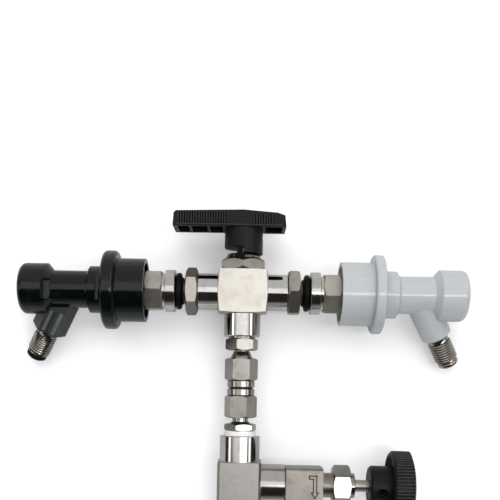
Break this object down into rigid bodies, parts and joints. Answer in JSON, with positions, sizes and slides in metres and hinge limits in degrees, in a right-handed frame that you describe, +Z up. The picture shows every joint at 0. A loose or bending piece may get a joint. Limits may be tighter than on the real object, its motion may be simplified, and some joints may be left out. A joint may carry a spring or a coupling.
{
  "type": "counter-pressure bottle filler",
  "caption": "Stainless counter-pressure bottle filler: three-way ball valve with two ball-lock disconnects, check valve, tee with bleed needle valve, filling tube and stopper.",
  "frame": {"origin": "on the filling tube's axis, where the bottle's lip meets the rubber stopper", "axes": "+Z up the tube to the T-handle, +X to the grey gas disconnect and the needle valve, +Y away from the viewer"},
  "size_m": [0.2144, 0.0376, 0.4076],
  "materials": {
    "polished_steel": "polished stainless steel",
    "machined_steel": "turned stainless steel",
    "satin_steel": "satin stainless steel",
    "black_plastic": "glossy moulded plastic",
    "grey_plastic": "glossy moulded plastic",
    "handle_plastic": "matt moulded plastic",
    "black_rubber": "soft rubber",
    "stopper_rubber": "pale silicone",
    "white_tape": "thread seal tape",
    "white_seat": "slippery white plastic"
  },
  "bodies": {
    "filler": {"valve_body": "satin_steel", "side_end_connectors": "polished_steel", "bottom_end_connector": "polished_steel", "ball_seats": "white_seat", "stem_packing": "white_seat", "packing_nut": "machined_steel", "left_adapter": "machined_steel", "right_adapter": "machined_steel", "junction_seals": "black_rubber", "left_post": "machined_steel", "right_post": "machined_steel", "post_poppets": "machined_steel", "poppet_springs": "machined_steel", "post_seals": "black_rubber", "upper_adapter": "machined_steel", "check_valve_inlet": "machined_steel", "check_valve_outlet": "machined_steel", "check_valve_seal": "black_rubber", "check_spring": "machined_steel", "lower_adapter": "machined_steel", "thread_tape": "white_tape", "tee_body": "satin_steel", "gland_nut": "machined_steel", "gland_ferrule": "white_seat", "gland_fitting": "machined_steel", "stopper_sleeve": "polished_steel", "filling_tube": "polished_steel", "bottle_stopper": "stopper_rubber", "needle_valve_body": "satin_steel", "needle_packing": "white_seat", "needle_packing_nut": "machined_steel"},
    "handle": {"t_handle": "handle_plastic", "handle_set_screw": "machined_steel", "valve_stem": "machined_steel", "valve_ball": "polished_steel"},
    "needle": {"needle_stem": "machined_steel"},
    "knob": {"needle_knob": "handle_plastic", "knob_set_screw": "machined_steel"},
    "check_poppet": {"check_poppet": "machined_steel"},
    "black_disconnect": {"black_disconnect_body": "black_plastic", "black_disconnect_cap": "black_plastic", "black_lock_balls": "machined_steel", "black_plunger": "machined_steel", "black_plunger_spring": "machined_steel", "black_flare_stud": "machined_steel", "black_flare_tip": "black_rubber", "black_collar_spring": "machined_steel"},
    "black_collar": {"black_collar": "black_plastic"},
    "grey_disconnect": {"grey_disconnect_body": "grey_plastic", "grey_disconnect_cap": "grey_plastic", "grey_lock_balls": "machined_steel", "grey_plunger": "machined_steel", "grey_plunger_spring": "machined_steel", "grey_flare_stud": "machined_steel", "grey_flare_tip": "machined_steel", "grey_collar_spring": "machined_steel"},
    "grey_collar": {"grey_collar": "grey_plastic"}
  },
  "joints": [
    {"name": "handle_turn", "type": "hinge", "parent": "filler", "child": "handle", "pos_m": [0, 0, 0.1549], "axis": [0, 0, 1], "range_deg": [0, 180]},
    {"name": "needle_travel", "type": "slide", "parent": "filler", "child": "needle", "axis": [1, 0, 0], "range_m": [-0.002, 0.003]},
    {"name": "knob_turn", "type": "hinge", "parent": "needle", "child": "knob", "pos_m": [0, 0, 0.0628], "axis": [1, 0, 0], "range_deg": [-720, 1080]},
    {"name": "check_lift", "type": "slide", "parent": "filler", "child": "check_poppet", "axis": [0, 0, -1], "range_m": [0, 0.002], "stiffness_N_per_m": 60, "springref_m": -0.004, "deforming": ["check_spring"]},
    {"name": "black_swivel", "type": "hinge", "parent": "filler", "child": "black_disconnect", "pos_m": [-0.0565, 0, 0.1549], "axis": [1, 0, 0], "continuous": true},
    {"name": "black_collar_pull", "type": "slide", "parent": "black_disconnect", "child": "black_collar", "axis": [-1, 0, 0], "range_m": [0, 0.0036], "stiffness_N_per_m": 2500, "springref_m": -0.002, "deforming": ["black_collar_spring"]},
    {"name": "grey_swivel", "type": "hinge", "parent": "filler", "child": "grey_disconnect", "pos_m": [0.0565, 0, 0.1549], "axis": [1, 0, 0], "continuous": true},
    {"name": "grey_collar_pull", "type": "slide", "parent": "grey_disconnect", "child": "grey_collar", "axis": [1, 0, 0], "range_m": [0, 0.0036], "stiffness_N_per_m": 2500, "springref_m": -0.002, "deforming": ["grey_collar_spring"]}
  ],
  "couplings": [
    {"joint": "needle_travel", "follows": "knob_turn", "m_per_rad": 0.00015915}
  ]
}
